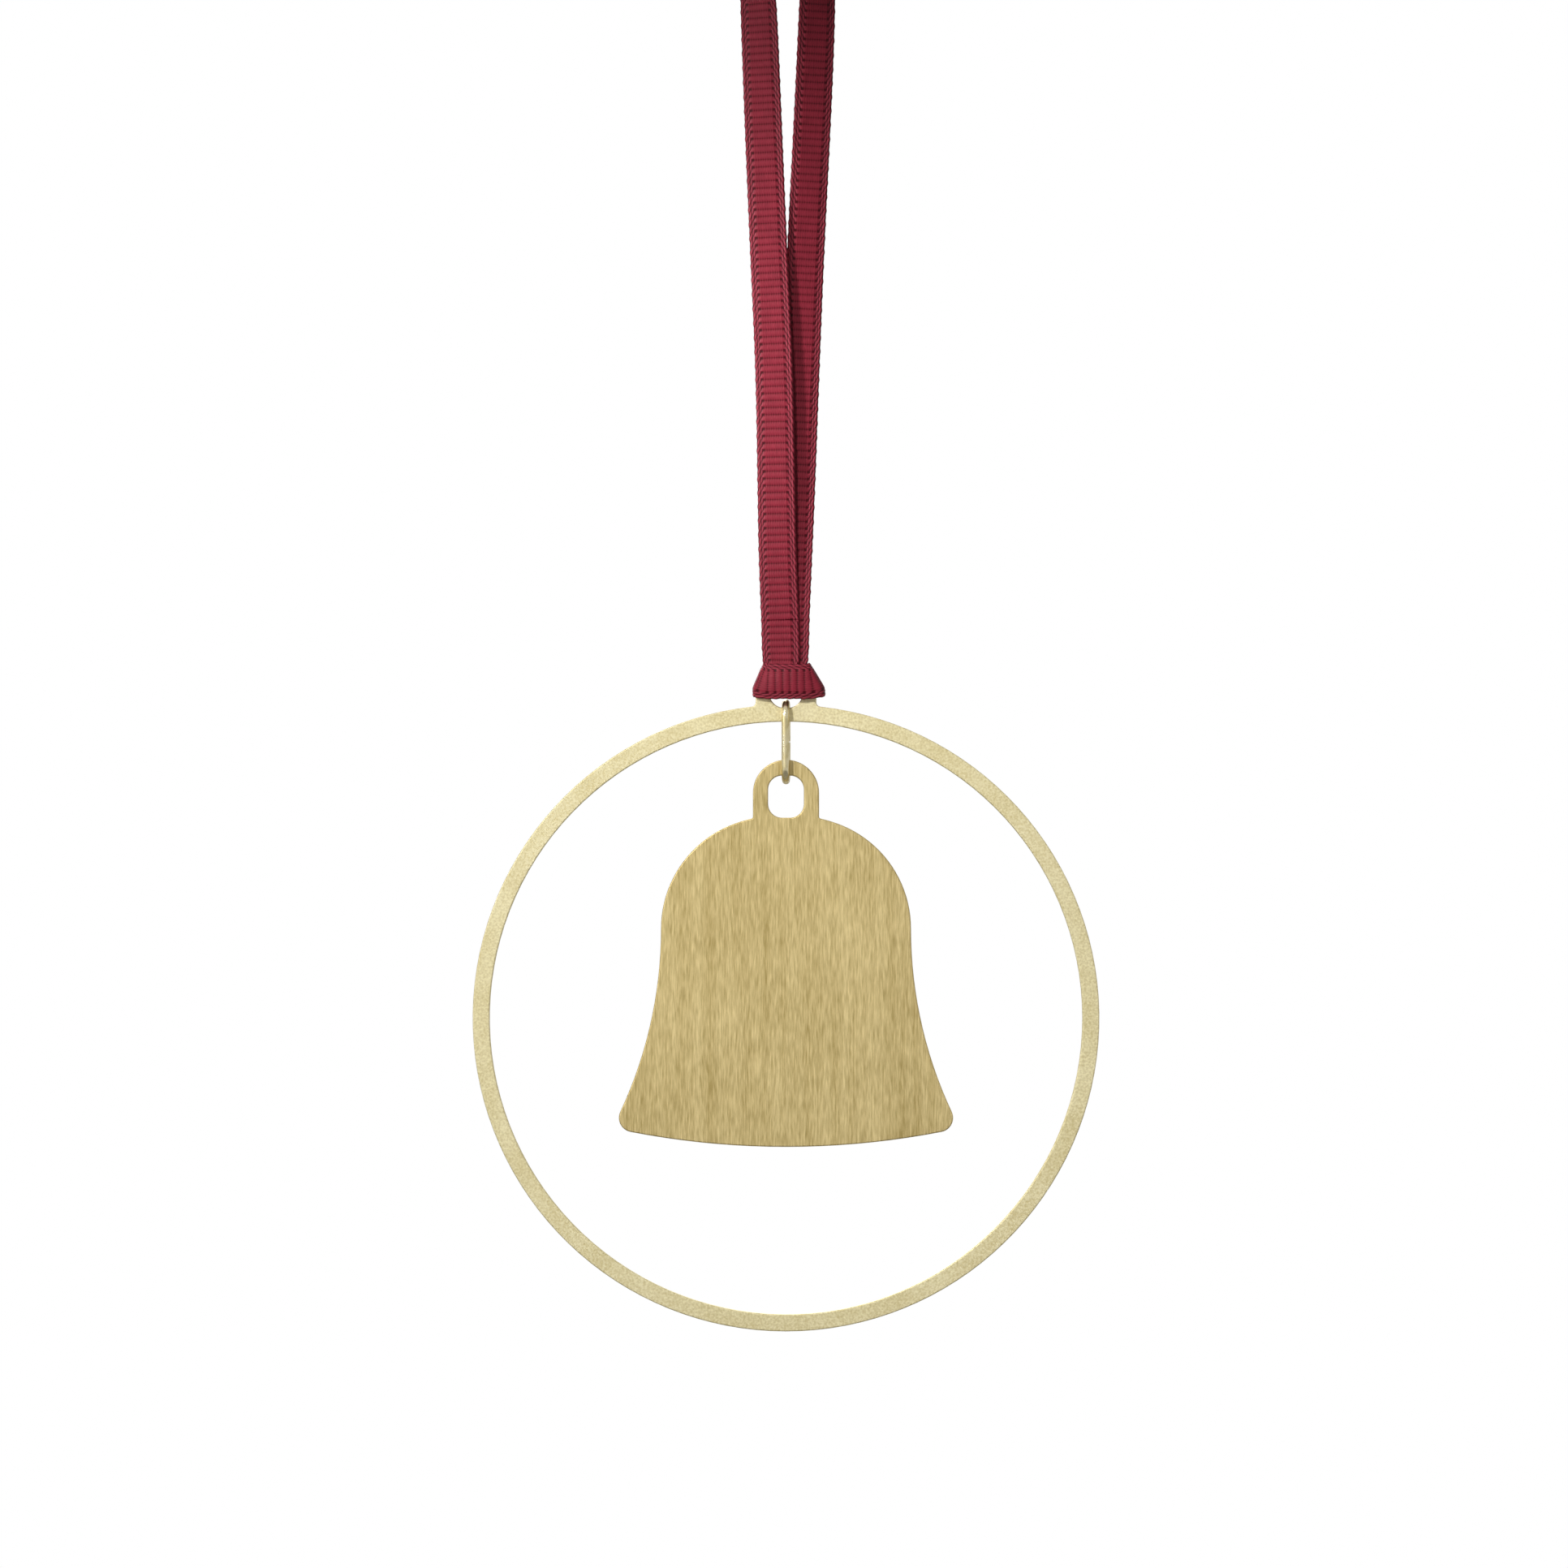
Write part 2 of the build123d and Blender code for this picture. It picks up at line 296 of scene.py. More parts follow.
@dataclass(frozen=True)
class Grosgrain:
    """Woven grosgrain tape: round ribs across it, furrows painted darker as shade, fine warp ends and corded
    selvages.

    The tape's UV map counts ribs along it and millimetres across it, so the weave follows every bend.
    """

    name: str = "woven_grosgrain"
    crest: str = "#b03648"
    # painted shade: the dark colour that furrows, gaps and the lines between cords take
    furrow_shade: str = "#560d19"
    cord: str = "#c6485b"
    warp: float = 0.38  # mm from one warp end to the next, a little coarser than real, so that it shows
    roughness: float = 0.50
    sheen: float = 0.03

    def material(self) -> bpy.types.Material:
        """Builds the finish.

        Returns:
            Its material.
        """
        made, tree = empty_material(self.name)
        uv = add_node(tree, "UVMap", uv_map="weave")
        ribs = add_node(tree, "SeparateXYZ", {0: uv}, out=0)
        across = add_node(tree, "SeparateXYZ", {0: uv}, out=1)
        out = add_node(tree, "Math", {0: across}, operation="ABSOLUTE")

        # ribs: a wave that touches nought in each furrow; it shapes the relief and the painted shade of the
        # furrows
        turn = add_node(tree, "Math", {0: ribs, 1: math.pi}, operation="MULTIPLY")
        wave = add_node(
            tree, "Math", {0: add_node(tree, "Math", {0: turn}, operation="SINE")}, operation="ABSOLUTE"
        )
        rib = add_node(tree, "Math", {0: wave, 1: 0.7}, operation="POWER")
        rib = add_node(tree, "MapRange", {"Value": rib, "To Min": 0.3, "To Max": 1.0})

        # warp ends along the tape
        ends = add_node(tree, "Math", {0: across, 1: math.tau / self.warp}, operation="MULTIPLY")
        ends = add_node(tree, "Math", {0: ends}, operation="COSINE")

        # selvage cords: strands that lean across the cord, and a dark line between two cords, in the relief
        # and as painted shade in the colour
        in_cord = add_node(tree, "Math", {0: out, 1: SELVAGE}, operation="SUBTRACT")
        in_cord = add_node(tree, "Math", {0: in_cord, 1: STRAND}, operation="DIVIDE")
        lean = add_node(tree, "Math", {0: in_cord, 1: LEAN}, operation="MULTIPLY")
        lean = add_node(tree, "Math", {0: lean, 1: ribs}, operation="ADD")
        lean = add_node(tree, "Math", {0: lean, 1: math.pi}, operation="MULTIPLY")
        lean = add_node(tree, "Math", {0: lean}, operation="SINE")
        strand = add_node(tree, "Math", {0: lean}, operation="ABSOLUTE")
        strand = add_node(tree, "Math", {0: strand, 1: 0.8}, operation="POWER")
        round_cord = add_node(tree, "Math", {0: in_cord, 1: math.pi}, operation="MULTIPLY")
        round_cord = add_node(tree, "Math", {0: round_cord}, operation="SINE")
        round_cord = add_node(tree, "Math", {0: round_cord}, operation="ABSOLUTE")
        round_cord = add_node(tree, "Math", {0: round_cord, 1: 0.35}, operation="POWER")
        selvage = add_node(tree, "Math", {0: strand, 1: round_cord}, operation="MULTIPLY")
        selvage = add_node(tree, "MapRange", {"Value": selvage, "To Min": 0.08, "To Max": 1.0})
        edge = add_node(
            tree,
            "MapRange",
            {"Value": out, "From Min": SELVAGE - 0.06, "From Max": SELVAGE + 0.06},
            interpolation_type="SMOOTHSTEP",
        )

        # a small dark gap in each furrow where the ribs meet the selvage: a dip in the relief, and a spot of
        # painted shade in the colour
        near = add_node(tree, "Math", {0: out, 1: SELVAGE}, operation="SUBTRACT")
        near = add_node(tree, "Math", {0: near}, operation="ABSOLUTE")
        near = add_node(tree, "MapRange", {"Value": near, "From Min": 0.14, "From Max": 0.32})
        open_rib = add_node(tree, "MapRange", {"Value": wave, "From Min": 0.35, "From Max": 0.75})
        gap = add_node(tree, "Math", {0: near, 1: open_rib}, operation="MAXIMUM")
        gap = add_node(tree, "MapRange", {"Value": gap, "To Min": 0.3, "To Max": 1.0})

        height = add_node(tree, "Mix", {0: edge, 2: rib, 3: selvage}, data_type="FLOAT")
        fine = add_node(tree, "Math", {0: ends, 1: 0.16}, operation="MULTIPLY")
        height = add_node(tree, "Math", {0: height, 1: fine}, operation="ADD")
        height = add_node(tree, "Math", {0: height, 1: gap}, operation="MULTIPLY")

        # dye and yarn: slow patches, and a finer unevenness from yarn to yarn; with painted shade that
        # darkens the colour in furrows, gaps and between cords
        patches = add_node(tree, "TexNoise", {"Vector": uv, "Scale": 0.35, "Detail": 3.0})
        slub = add_node(
            tree,
            "VectorMath",
            {0: uv, 1: (0.5, 1 / self.warp, 0.0)},
            operation="MULTIPLY",
        )
        slub = add_node(tree, "TexNoise", {"Vector": slub, "Scale": 1.0, "Detail": 2.0})
        top = add_node(
            tree, "Mix", {0: edge, 6: linear(self.crest), 7: linear(self.cord)}, out=2, data_type="RGBA"
        )
        # painted shade: where the relief is low the colour goes over to the dark furrow colour
        shown = add_node(tree, "MapRange", {"Value": height, "From Min": 0.15, "From Max": 0.85})
        dye_and_painted_shade = add_node(
            tree, "Mix", {0: shown, 6: linear(self.furrow_shade), 7: top}, out=2, data_type="RGBA"
        )
        uneven = add_node(tree, "Math", {0: patches, 1: slub}, operation="ADD")
        uneven = add_node(
            tree,
            "MapRange",
            {"Value": uneven, "From Min": 0.6, "From Max": 1.4, "To Min": 0.84, "To Max": 1.14},
        )
        dye_and_painted_shade = add_node(
            tree, "HueSaturation", {"Color": dye_and_painted_shade, "Value": uneven, "Saturation": 1.0, "Fac": 1.0}
        )
        relief = add_node(tree, "Bump", {"Height": height, "Strength": 0.6, "Distance": 0.11 * MM})
        cloth = add_node(
            tree,
            "BsdfPrincipled",
            {
                "Base Color": dye_and_painted_shade,
                "Roughness": self.roughness,
                "IOR": 1.5,
                "Specular IOR Level": 0.2,
                "Sheen Weight": self.sheen,
                "Sheen Roughness": 0.35,
                "Sheen Tint": linear("#ffc6cc"),
                "Normal": relief,
            },
        )
        add_node(tree, "OutputMaterial", {"Surface": cloth})
        return made


@dataclass(frozen=True)
class SewingThread:
    """Polyester sewing thread: two plies twisted together, dark red with a slight gloss."""

    name: str = "sewing_thread"
    ply: str = "#7d1f2d"
    # painted shade: the dark colour of the grooves between the plies
    between: str = "#35090f"
    lay: float = 0.45  # mm, length of one turn of the plies, drawn long so that it shows

    def material(self) -> bpy.types.Material:
        """Builds the finish.

        Returns:
            Its material.
        """
        made, tree = empty_material(self.name)
        place = add_node(tree, "TexCoord", out=3)
        leaning = add_node(tree, "Mapping", {"Vector": place, "Rotation": (0.5, 0.3, 0.0)})
        plies = add_node(
            tree,
            "TexWave",
            {"Vector": leaning, "Scale": 0.314 / (self.lay * MM), "Distortion": 0.4},
            out=1,
            bands_direction="Y",
        )
        # painted shade: the plies' colour darkens into the grooves between them
        dye_and_painted_shade = add_node(
            tree, "Mix", {0: plies, 6: linear(self.between), 7: linear(self.ply)}, out=2, data_type="RGBA"
        )
        relief = add_node(tree, "Bump", {"Height": plies, "Strength": 0.5, "Distance": 0.04 * MM})
        thread = add_node(
            tree,
            "BsdfPrincipled",
            {"Base Color": dye_and_painted_shade, "Roughness": 0.45, "IOR": 1.55, "Sheen Weight": 0.2, "Normal": relief},
        )
        add_node(tree, "OutputMaterial", {"Surface": thread})
        return made


@dataclass(frozen=True)
class StudioPaint:
    """Matt off-white emulsion on a plain board, with a very faint roller texture."""

    name: str = "matt_emulsion"
    pale: str = "#f4f3f0"
    shade: str = "#eeedea"
    roller: float = 4.0  # mm

    def material(self) -> bpy.types.Material:
        """Builds the finish.

        Returns:
            Its material.
        """
        made, tree = empty_material(self.name)
        place = add_node(tree, "TexCoord", out=3)
        nap = add_node(tree, "TexNoise", {"Vector": place, "Scale": 1 / (self.roller * MM), "Detail": 2.0})
        paint = add_node(
            tree, "Mix", {0: nap, 6: linear(self.shade), 7: linear(self.pale)}, out=2, data_type="RGBA"
        )
        board = add_node(tree, "BsdfPrincipled", {"Base Color": paint, "Roughness": 0.8})
        add_node(tree, "OutputMaterial", {"Surface": board})
        return made


# ------------------------------------------------------------------------------------ tape


@dataclass(frozen=True)
class Stage:
    """One of the places that a tape's line is drawn towards."""

    place: Point  # mm
    across: Point  # way across the tape; the tape faces the way it runs x across
    half: float = TAPE_HALF  # half of the width it takes up there, mm
    crown: float = 0.0  # how far its middle stands proud of its edges, mm
    roll: float = 0.0  # how far its lower edge is rolled under, mm
    pleat: float = 0.0  # depth of the pleats it is gathered in, mm


def spline_points(points: Sequence[Point], steps: int = 24) -> np.ndarray:
    """Reads the points of a smooth NURBS line.

    Args:
        points: its control points.
        steps: points read to a span.

    Returns:
        The line's points, one row each.
    """
    curve = bpy.data.curves.new("line", "CURVE")
    curve.dimensions = "3D"
    spline = curve.splines.new("NURBS")
    spline.points.add(len(points) - 1)
    for point, place in zip(spline.points, points):
        point.co = (*place, 1.0)
    spline.order_u = 3
    spline.use_endpoint_u = True
    spline.resolution_u = steps
    holder = bpy.data.objects.new("line", curve)
    line = bpy.data.meshes.new_from_object(holder)
    found = np.array([v.co[:] for v in line.vertices])
    bpy.data.meshes.remove(line)
    bpy.data.objects.remove(holder)
    bpy.data.curves.remove(curve)
    return found


@dataclass
class TapeLine:
    """A tape's middle line, with its way across and its shape at each point."""

    stages: Sequence[Stage]

    def read(self) -> tuple[np.ndarray, np.ndarray, np.ndarray]:
        """Reads the line, in mm.

        Returns:
            Middle points, ways across, and the other four sizes of each stage.
        """
        middle = spline_points([s.place for s in self.stages])
        across = spline_points([s.across for s in self.stages])
        spans = spline_points([(s.half, s.crown, s.roll) for s in self.stages])
        pleats = spline_points([(s.pleat, 0.0, 0.0) for s in self.stages])
        return middle, across, np.column_stack([spans, pleats[:, 0]])

    def length(self) -> float:
        """Measures the middle line.

        Returns:
            Its length, mm.
        """
        return float(np.linalg.norm(np.diff(self.read()[0], axis=0), axis=1).sum())


@dataclass
class Tape:
    """One woven tape, laid along a line as a thin solid with its ribs and selvages in relief."""

    name: str
    line: TapeLine
    thick: float = 0.44  # mm over a rib
    stations: int = 7  # to a rib
    centred: bool = False  # ribs counted from the middle of the line
    roll_from: float = 1.3  # where a rolled lower edge starts to bend, from the middle, mm
    pleat_pitch: float = 2.0  # mm

    columns: tuple[float, ...] = (
        -3.0, -2.88, -2.68, -2.42, -2.2, -1.96, -1.84, -1.5, -1.0, -0.5, 0.0,
        0.5, 1.0, 1.5, 1.84, 1.96, 2.2, 2.42, 2.68, 2.88, 3.0,
    )  # fmt: skip

    def weave(self) -> bpy.types.Object:
        """Builds the tape's mesh.

        Returns:
            The linked piece.
        """
        middle, across, sizes = self.line.read()
        runs = np.concatenate([[0.0], np.cumsum(np.linalg.norm(np.diff(middle, axis=0), axis=1))])
        ribs = max(2, round(runs[-1] / RIB_PITCH))
        rows = ribs * self.stations + 1
        at = np.linspace(0.0, runs[-1], rows)
        middle, across, sizes = (
            np.column_stack([np.interp(at, runs, part[:, k]) for k in range(part.shape[1])])
            for part in (middle, across, sizes)
        )
        onward = np.gradient(middle, axis=0)
        onward /= np.linalg.norm(onward, axis=1)[:, None]
        facing = np.cross(onward, across)
        facing /= np.linalg.norm(facing, axis=1)[:, None]
        across = np.cross(facing, onward)

        work = bmesh.new()
        bmesh.ops.create_grid(work, x_segments=rows - 1, y_segments=len(self.columns) - 1, size=1.0)
        mesh = bpy.data.meshes.new(self.name)
        work.to_mesh(mesh)
        work.free()
        flat = np.empty(len(mesh.vertices) * 3)
        mesh.vertices.foreach_get("co", flat)
        flat = flat.reshape(-1, 3)
        row = np.rint((flat[:, 0] + 1) / 2 * (rows - 1)).astype(int)
        side = np.array(self.columns)[np.rint((flat[:, 1] + 1) / 2 * (len(self.columns) - 1)).astype(int)]
        count = row / self.stations - (ribs / 2 if self.centred else 0.0)

        half, crown, roll, pleat = sizes[row].T
        wandering = count + 0.9 / math.tau * np.sin(0.37 * count)  # so that no two scallops are quite alike
        wavy = SCALLOP[0] * np.cos(math.pi * count) + SCALLOP[1] * np.cos(math.tau * wandering)
        scallop = wavy * np.abs(side / TAPE_HALF) ** 6 * np.sign(side)
        wide = side * half / TAPE_HALF + scallop
        under = np.clip((-side - self.roll_from) / (TAPE_HALF - self.roll_from), 0, 1)
        pleats = pleat * np.cos(math.tau * side / self.pleat_pitch)
        lift = crown * (1 - (side / TAPE_HALF) ** 2) - roll * under**2 + pleats
        placed = middle[row] + across[row] * wide[:, None] + facing[row] * lift[:, None]
        mesh.vertices.foreach_set("co", (placed * MM).ravel())

        weave = mesh.uv_layers.new(name="weave")
        corner = np.empty(len(mesh.loops), int)
        mesh.loops.foreach_get("vertex_index", corner)
        weave.data.foreach_set("uv", np.column_stack([count[corner], side[corner]]).ravel())
        return self._thicken(mesh, count, side)

    def _thicken(self, mesh: bpy.types.Mesh, count: np.ndarray, side: np.ndarray) -> bpy.types.Object:
        """Gives the sheet its thickness, more over ribs and cords than between them.

        Args:
            mesh: the sheet.
            count: ribs along the tape at each vertex.
            side: mm across the tape at each vertex.

        Returns:
            The finished object.
        """
        rib = 0.70 + 0.30 * np.abs(np.sin(math.pi * count)) ** 0.8
        in_cord = (np.abs(side) - SELVAGE) / STRAND
        yarn = np.abs(np.sin(math.pi * (LEAN * in_cord + count)))
        cord = 0.62 + 0.34 * yarn * np.abs(np.sin(math.pi * in_cord))
        cord = np.where(np.abs(side) > TAPE_HALF - 0.05, 0.45, cord)  # thinned to a soft edge
        full = np.where(np.abs(side) > SELVAGE, cord, rib)
        draft = bpy.data.objects.new("draft", mesh)
        bpy.context.scene.collection.objects.link(draft)
        group = draft.vertex_groups.new(name="full")
        for level in np.unique(np.round(full, 2)):
            group.add(np.flatnonzero(np.round(full, 2) == level).tolist(), float(level), "REPLACE")
        thick = draft.modifiers.new("thick", "SOLIDIFY")
        thick.thickness = self.thick * MM
        thick.offset = 0.0
        thick.vertex_group = "full"
        return bake(draft, self.name)


def bake(draft: bpy.types.Object, name: str) -> bpy.types.Object:
    """Turns a draft, with its modifiers or its curve's thickness, into a plain smooth mesh.

    Args:
        draft: the linked draft, which is removed.
        name: what the finished piece is called.

    Returns:
        The finished object.
    """
    seen = draft.evaluated_get(bpy.context.evaluated_depsgraph_get())
    mesh = bpy.data.meshes.new_from_object(seen)
    data = draft.data
    bpy.data.objects.remove(draft)
    (bpy.data.meshes if isinstance(data, bpy.types.Mesh) else bpy.data.curves).remove(data)
    mesh.name = name
    mesh.polygons.foreach_set("use_smooth", [True] * len(mesh.polygons))
    piece = bpy.data.objects.new(name, mesh)
    bpy.context.scene.collection.objects.link(piece)
    return piece


def dress(piece: bpy.types.Object, finish: bpy.types.Material) -> None:
    """Gives a piece one finish, in every slot it has.

    Args:
        piece: the piece.
        finish: the material that it gets.
    """
    if not piece.material_slots:
        piece.data.materials.append(finish)
    for slot in piece.material_slots:
        slot.material = finish


# ------------------------------------------------------------------------------------ sub-assemblies


@dataclass(frozen=True)
class SoftBox:
    """One soft box with a grid, aimed at the middle plane of the ornament."""

    name: str
    place: Point  # from the ring's centre, mm
    size: tuple[float, float]  # width and height, mm
    power: float  # watts
    spread: float  # angle that its grid lets the light out in, degrees
    aim_z: float  # height that it points at, from the ring's centre, mm

    def hang(self) -> None:
        """Adds the lamp to the scene."""
        light = bpy.data.lights.new(self.name, "AREA")
        light.shape = "RECTANGLE"
        light.size, light.size_y = self.size[0] * MM, self.size[1] * MM
        light.energy = self.power
        light.spread = math.radians(self.spread)
        box = bpy.data.objects.new(self.name, light)
        box.location = (Vector(self.place) + Vector((0, 0, RING_MIDDLE))) * MM
        aim = Vector((0, 0, RING_MIDDLE + self.aim_z)) * MM - box.location
        box.rotation_euler = aim.to_track_quat("-Z", "Y").to_euler()
        bpy.context.scene.collection.objects.link(box)


@dataclass
class Studio:
    """Camera, soft lights, a pale floor and a white surround."""

    eye: Point = (-0.32, -1200.0, -160.65)
    view_width: float = 250.3  # mm seen at the ornament
    floor_z: float = -372.0
    floor_radius: float = 600.0
    ambient: float = 0.05  # the surround's strength on cloth and paint
    mirrored: float = 0.55  # and what the brass mirrors of it
    boxes: tuple[SoftBox, ...] = (
        SoftBox("key", (-960, -565, 265), (160, 40), 0.034, 7.2, 112),  # lights the ribbon, less at its top
        SoftBox("front", (-420, -860, 440), (120, 120), 0.044, 13.5, 4),  # lights the ring and the bell
        SoftBox("strip", (-900, -750, 40), (80, 900), 0.20, 120, 20),  # a long highlight on the wire
        SoftBox("rear", (-200, 900, 500), (500, 500), 2.4, 110, -250),  # lights the floor and the back
    )

    def build(self) -> None:
        """Sets up the camera, the lights, the surround and the floor."""
        scene = bpy.context.scene
        scene.view_settings.view_transform = "Standard"
        lens = bpy.data.cameras.new("camera")
        lens.sensor_width = 36.0
        lens.lens = 36.0 * -self.eye[1] / self.view_width
        lens.clip_end = 20.0
        camera = bpy.data.objects.new("camera", lens)
        camera.location = Vector(self.eye) * MM
        camera.rotation_euler = (math.pi / 2, 0, 0)
        scene.collection.objects.link(camera)
        scene.camera = camera
        for box in self.boxes:
            box.hang()
        self._surround(scene)
        self.floor = self._floor()

    def _surround(self, scene: bpy.types.Scene) -> None:
        """Makes all round white to the eye, and softer as a light.

        Args:
            scene: the scene that it surrounds.
        """
        world = bpy.data.worlds.new("surround")
        world.use_nodes = True
        tree = world.node_tree
        tree.nodes.clear()
        seen = add_node(tree, "LightPath", out=0)
        glossy = add_node(tree, "LightPath", out=3)
        soft = add_node(
            tree, "MapRange", {"Value": glossy, "To Min": self.ambient, "To Max": self.mirrored}
        )
        bright = add_node(tree, "Math", {0: seen, 1: soft}, operation="MAXIMUM")
        white = add_node(tree, "Background", {"Color": linear("#ffffff"), "Strength": bright})
        add_node(tree, "OutputWorld", {"Surface": white})
        scene.world = world

    def _floor(self) -> bpy.types.Object:
        """Cuts the round floor under the ornament.

        Returns:
            The linked floor.
        """
        work = bmesh.new()
        bmesh.ops.create_circle(work, cap_ends=True, segments=96, radius=self.floor_radius * MM)
        bmesh.ops.translate(work, verts=work.verts, vec=(0, 0, self.floor_z * MM))
        mesh = bpy.data.meshes.new("floor")
        work.to_mesh(mesh)
        work.free()
        floor = bpy.data.objects.new("floor", mesh)
        bpy.context.scene.collection.objects.link(floor)
        return floor

    def dress(self) -> None:
        """Paints the floor."""
        dress(self.floor, StudioPaint().material())
        log.info("floor painted, %d lamps hung", len(self.boxes))


@dataclass
class RibbonLoop:
    """The free loop of tape, from the knot over the peg and back, with its sewn lap and stitches."""

    apex_radius: float = 5.7  # of the bend over the peg, to the tape's middle, mm
    apex_z: float = -5.5  # height of that bend's centre, mm
    lap_radius: float = 6.16  # mm
    lap_half_turn: float = 40.0  # degrees
    stitch_rows: tuple[float, float] = (-28.0, 28.0)  # degrees from the top
    stitch_count: int = 4  # to a row
    stitch_start: float = -2.55  # across the tape, mm
    stitch_pitch: float = 1.4  # mm
    stitch_seen: float = 0.9  # length of the part that shows outside, mm
    stitch_lift: float = 0.30  # its middle's height over the middle of the cloth, mm
    stitch_dip: float = 0.32  # mm
    thread_radius: float = 0.15  # mm

    def stages(self) -> list[Stage]:
        """Lists the places that the loop's line is drawn towards.

        Returns:
            Stages from the left neck to the right one.
        """
        left = (
            ((-0.95, -0.90, NECK_Z), 0),
            ((-1.35, -0.60, -126.0), 3),
            ((-1.55, -0.35, -114.0), 7),
            ((-1.85, -0.33, -95.0), 8),
            ((-2.80, -0.30, -75.0), 8),
            ((-3.65, -0.25, -55.0), 9),
            ((-4.30, -0.15, -38.0), 14),
            ((-4.85, -0.05, -27.0), 34),
            ((-5.45, 0.0, -17.5), 68),
            ((-5.70, 0.0, -10.0), 88),
            ((-5.70, 0.0, -3.14), 90),
            ((-2.36, 0.0, 0.20), 90),
        )
        right = (
            ((2.36, 0.0, 0.20), 90),
            ((5.70, 0.0, -3.14), 90),
            ((5.70, 0.0, -10.0), 88),
            ((5.55, 0.0, -17.5), 68),
            ((5.20, 0.05, -27.0), 34),
            ((4.95, 0.10, -38.0), 14),
            ((4.20, 0.22, -55.0), 8),
            ((3.15, 0.38, -75.0), 8),
            ((2.35, 0.45, -95.0), 8),
            ((1.65, 0.40, -114.0), 7),
            ((1.10, 0.02, -126.0), 3),
            ((0.75, -0.42, NECK_Z), 0),
        )
        made = []
        for side, half_loop in ((Side.LEFT, left), (Side.RIGHT, right)):
            for place, turn in half_loop:  # turned by so many degrees from facing forwards
                angle = math.radians(turn)
                made.append(Stage(place, (side.value * math.cos(angle), math.sin(angle), 0.0)))
        return made

    def build(self) -> None:
        """Weaves the loop and its lap, and sews its stitches."""
        self.line = TapeLine(self.stages())
        self.loop = Tape("ribbon_loop", self.line).weave()
        self.lap = self._lap()
        self.stitches = self._stitches()

    def _lap(self) -> bpy.types.Object:
        """Lays the short second layer over the top of the loop.

        Returns:
            The linked layer.
        """
        reach, radius = math.radians(self.lap_half_turn), self.lap_radius
        corner = radius / math.cos(reach / 2)
        round_top = [
            (-radius * math.sin(reach), -reach),
            (-corner * math.sin(reach / 2), -reach / 2),
            (corner * math.sin(reach / 2), reach / 2),
            (radius * math.sin(reach), reach),
        ]
        stages = []
        for x, turn in round_top:
            height = (radius if abs(turn) == reach else corner) * math.cos(turn)
            stages.append(Stage((x, 0.0, self.apex_z + height), (0.0, 1.0, 0.0)))
        return Tape("ribbon_lap_layer", TapeLine(stages), centred=True).weave()

    def _stitches(self) -> bpy.types.Object:
        """Sews two rows of short stitches through the lap and the loop.

        Returns:
            The stitches, as one piece.
        """
        curve = bpy.data.curves.new("stitches", "CURVE")
        curve.dimensions = "3D"
        curve.bevel_depth = self.thread_radius * MM
        curve.bevel_resolution = 2
        curve.use_fill_caps = True
        outer, inner = self.lap_radius + self.stitch_lift, self.apex_radius - self.stitch_lift
        for turn in self.stitch_rows:
            out = Vector((math.sin(math.radians(turn)), 0, math.cos(math.radians(turn))))
            for number in range(self.stitch_count):
                start = self.stitch_start + self.stitch_pitch * number
                end, following = start + self.stitch_seen, start + self.stitch_pitch
                self._stitch(curve, out, start, end, outer, -self.stitch_dip)
                if number < self.stitch_count - 1:
                    self._stitch(curve, out, end, following, inner, self.stitch_dip)
        draft = bpy.data.objects.new("stitches", curve)
        bpy.context.scene.collection.objects.link(draft)
        return bake(draft, "lap_stitches")

    def _stitch(
        self, curve: bpy.types.Curve, out: Vector, start: float, end: float, level: float, dip: float
    ) -> None:
        """Adds one stitch that dives into the cloth at both ends.

        Args:
            curve: the curve that holds all the stitches.
            out: way out from the loop's centre at this row.
            start: where it begins across the tape, mm.
            end: where it ends, mm.
            level: its middle's distance from the centre, mm.
            dip: how far its ends go into the cloth, mm.
        """
        spline = curve.splines.new("NURBS")
        route = ((start, level + dip), (start + 0.08, level), (end - 0.08, level), (end, level + dip))
        spline.points.add(len(route) - 1)
        for point, (y, away) in zip(spline.points, route):
            place = (out * away + Vector((0, y, self.apex_z))) * MM
            point.co = (*place, 1.0)
        spline.order_u = 3
        spline.use_endpoint_u = True
        spline.resolution_u = 4

    def pieces(self) -> list[bpy.types.Object]:
        """Lists what was built.

        Returns:
            The loop, its lap and its stitches.
        """
        return [self.loop, self.lap, self.stitches]

    def dress(self, cloth: bpy.types.Material, thread: bpy.types.Material) -> None:
        """Finishes the pieces and ties them to the frame.

        Args:
            cloth: the tape's material.
            thread: the stitches' material.
        """
        for piece in (self.loop, self.lap):
            dress(piece, cloth)
        dress(self.stitches, thread)
        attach(self.lap, "hanger")
        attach(self.stitches, "hanger")
        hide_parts("ribbon_lap")
        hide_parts("seam_thread")
        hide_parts("ribbon_strand_left", "ribbon_strand_right", "ribbon_bend")
        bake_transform(self.loop)
        middle = self.line.read()[0] * MM
        self.line.length() * MM


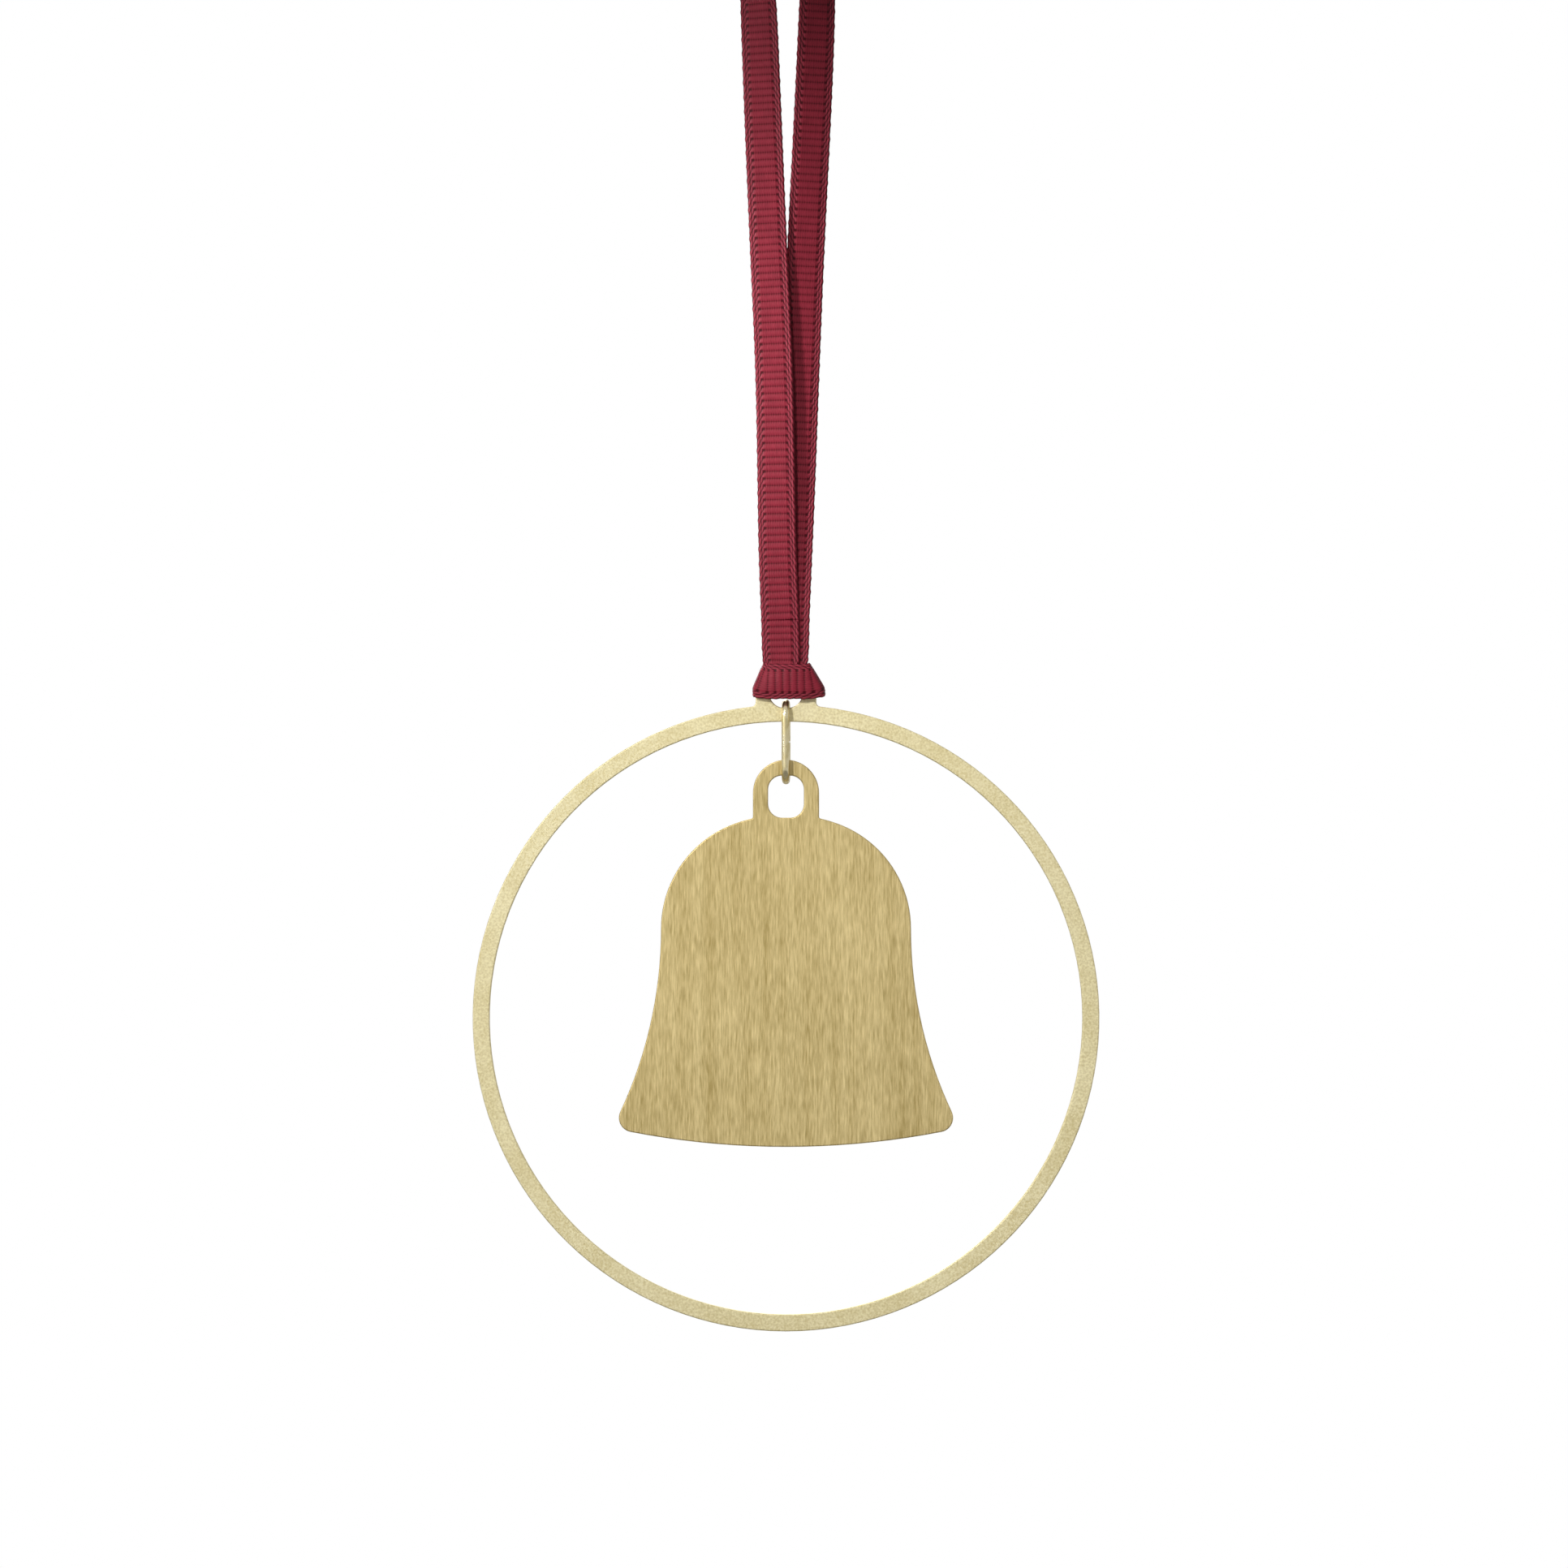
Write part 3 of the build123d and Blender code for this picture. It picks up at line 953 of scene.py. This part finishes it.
@dataclass
class RibbonKnot:
    """The tape cinched round the ring's tab, and the two necks that rise from behind its band."""

    band_z: float = RING_MIDDLE + 53.75  # height of the band's middle, mm
    front_y: float = -2.15  # mm
    back_y: float = 1.22  # mm
    side_x: tuple[float, float] = (4.52, 5.15)  # outermost turn of the left fold and of the right one
    lean: tuple[float, float] = (0.39, 0.516)  # how far the ribs lean at those folds, as a sine

    def _half_band(self, half: Side) -> list[Stage]:
        """Lists the places that half of the band is drawn towards.

        Args:
            half: which half.

        Returns:
            Stages from the band's middle round one shoulder and into the slot.
        """
        side, right = half.value, half is Side.RIGHT
        z, far, lean = self.band_z, self.side_x[right], self.lean[right]
        shoulder = (-side * lean * 0.7, 0.0, math.sqrt(1 - lean**2))
        ribs = (-side * lean, 0.0, math.sqrt(1 - lean**2))
        upright = (0.0, 0.0, 1.0)
        return [
            Stage((side * 1.4, self.front_y - 0.12, z - 0.05), upright, 2.75, 0.42, 0.20),
            Stage((side * (far - 1.2), self.front_y + 0.10, z - 0.05), shoulder, 2.8, 0.25, 0.4),
            Stage((side * far, self.front_y + 0.45, z + 0.4), ribs, 2.9, 0.0, 0.65),
            Stage((side * far, self.back_y, z + 0.4), ribs, 2.85, 0.0, 0.6),
            Stage((side * (far - 1.8), self.back_y, z - 0.35), ribs, 2.6, 0.0, 0.2, 0.05),
            Stage((side * 1.5, self.back_y, z - 0.85), (-side * 0.2, 0.0, 0.98), 1.7, 0.0, 0.0, 0.14),
            Stage((side * 0.8, 0.9, z - 1.0), upright, 1.45, 0.0, 0.0, 0.14),
            Stage((side * 0.8, -0.9, z - 0.9), upright, 1.45, 0.0, 0.0, 0.14),
        ]

    def _neck_stages(self, neck: Side) -> list[Stage]:
        """Lists the places that one neck is drawn towards.

        Args:
            neck: which neck. The left one lies in front.

        Returns:
            Stages from its junction with the loop down behind the band.
        """
        back = 0.48 if neck is Side.RIGHT else 0.0
        x_top, x_low = (-0.95, -0.80) if neck is Side.LEFT else (0.75, 0.62)
        across = (float(neck.value), 0.0, 0.0)
        return [
            Stage((x_top, -0.90 + back, NECK_Z), across),
            Stage(((x_top * 2 + x_low) / 3, -1.006 + back, -137.5), across),
            Stage((x_low, -1.34 + back, -140.0), across),
            Stage((x_low, -1.52 + back, -141.4), across, 2.85),
            Stage((x_low, -1.60 + back, -142.6), across, 2.50),
            Stage((x_low, -1.60 + back, -145.2), across, 2.30),
        ]

    def build(self) -> None:
        """Weaves the band and the two necks."""
        round_tab = self._half_band(Side.LEFT)[::-1] + self._half_band(Side.RIGHT)
        self.band = Tape("ribbon_knot_band", TapeLine(round_tab), centred=True).weave()
        rising, falling = self._neck_stages(Side.LEFT)[::-1], self._neck_stages(Side.RIGHT)
        self.neck_left = Tape("ribbon_neck_left", TapeLine(rising)).weave()
        self.neck_right = Tape("ribbon_neck_right", TapeLine(falling)).weave()

    def pieces(self) -> list[bpy.types.Object]:
        """Lists what was built.

        Returns:
            The band and the two necks.
        """
        return [self.band, self.neck_left, self.neck_right]

    def dress(self, cloth: bpy.types.Material) -> None:
        """Finishes the knot and ties it to the frame.

        Args:
            cloth: the tape's material.
        """
        for piece in self.pieces():
            dress(piece, cloth)
        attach(self.band, "ring")
        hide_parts("ribbon_knot")
        for neck in (self.neck_left, self.neck_right):
            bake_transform(neck)


@dataclass
class Metalwork:
    """The ring with its tab, the bell plate and the wire link, as the frame has them."""

    finishes: tuple[tuple[str, type], ...] = (
        ("ring_frame", BlastedBrass),
        ("bell_plate", BrushedBrass),
        ("wire_link", DrawnBrass),
    )

    def build(self) -> None:
        """Takes the three pieces from the frame."""
        self.nodes = [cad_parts[node] for node, _ in self.finishes]

    def pieces(self) -> list[bpy.types.Object]:
        """Lists what was taken.

        Returns:
            The ring, the bell plate and the link.
        """
        return self.nodes

    def dress(self) -> None:
        """Gives each brass piece its finish."""
        for piece, (_, finish) in zip(self.nodes, self.finishes):
            dress(piece, finish().material())


# ------------------------------------------------------------------------------------ making


def main() -> None:
    """Makes everything in order."""
    logging.basicConfig(level=logging.INFO, format="%(name)s: %(message)s")
    studio, loop, knot, metalwork = Studio(), RibbonLoop(), RibbonKnot(), Metalwork()
    for part in (studio, loop, knot, metalwork):
        part.build()

    cloth = Grosgrain().material()
    loop.dress(cloth, SewingThread().material())
    knot.dress(cloth)
    metalwork.dress()
    studio.dress()
    for piece in (*loop.pieces(), *knot.pieces(), *metalwork.pieces()):
        finish = piece.material_slots[0].material.name
        log.info("%s: %d faces, %s", piece.name, len(piece.data.polygons), finish)
    log.info("the loop of tape is %.1f mm long", loop.line.length())


if __name__ == "__main__":
    main()
